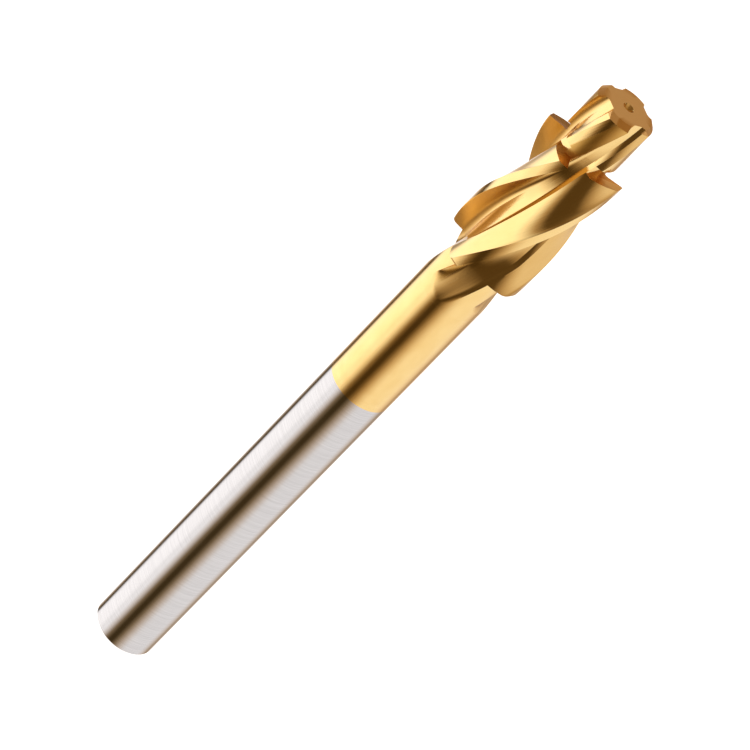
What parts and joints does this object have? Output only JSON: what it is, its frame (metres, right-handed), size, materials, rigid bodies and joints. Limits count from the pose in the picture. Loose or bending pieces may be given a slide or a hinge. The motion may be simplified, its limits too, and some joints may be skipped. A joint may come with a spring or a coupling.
{
  "type": "counterbore end mill",
  "caption": "Counterbore cutter with a plain round shank, a helical fluted head, rake-faced teeth and a solid fluted guide pilot on its end.",
  "frame": {"origin": "centre of the rear face of the shank", "axes": "+Z along the tool axis from the shank to the pilot, -Y towards the first tooth's cutting edge at the end of the head"},
  "size_m": [0.0136, 0.0136, 0.12],
  "materials": {
    "bare_steel": "cylindrically ground bright tool steel",
    "coated_steel": "ground tool steel with a gold-coloured hard coating"
  },
  "bodies": {
    "root": {"shank": "bare_steel", "neck": "coated_steel", "flute_runout": "coated_steel", "head_core": "coated_steel", "tooth_1": "coated_steel", "tooth_2": "coated_steel", "tooth_3": "coated_steel", "tooth_4": "coated_steel", "pilot_core": "coated_steel", "pilot_land_1": "coated_steel", "pilot_land_2": "coated_steel", "pilot_land_3": "coated_steel", "pilot_land_4": "coated_steel"}
  },
  "joints": []
}
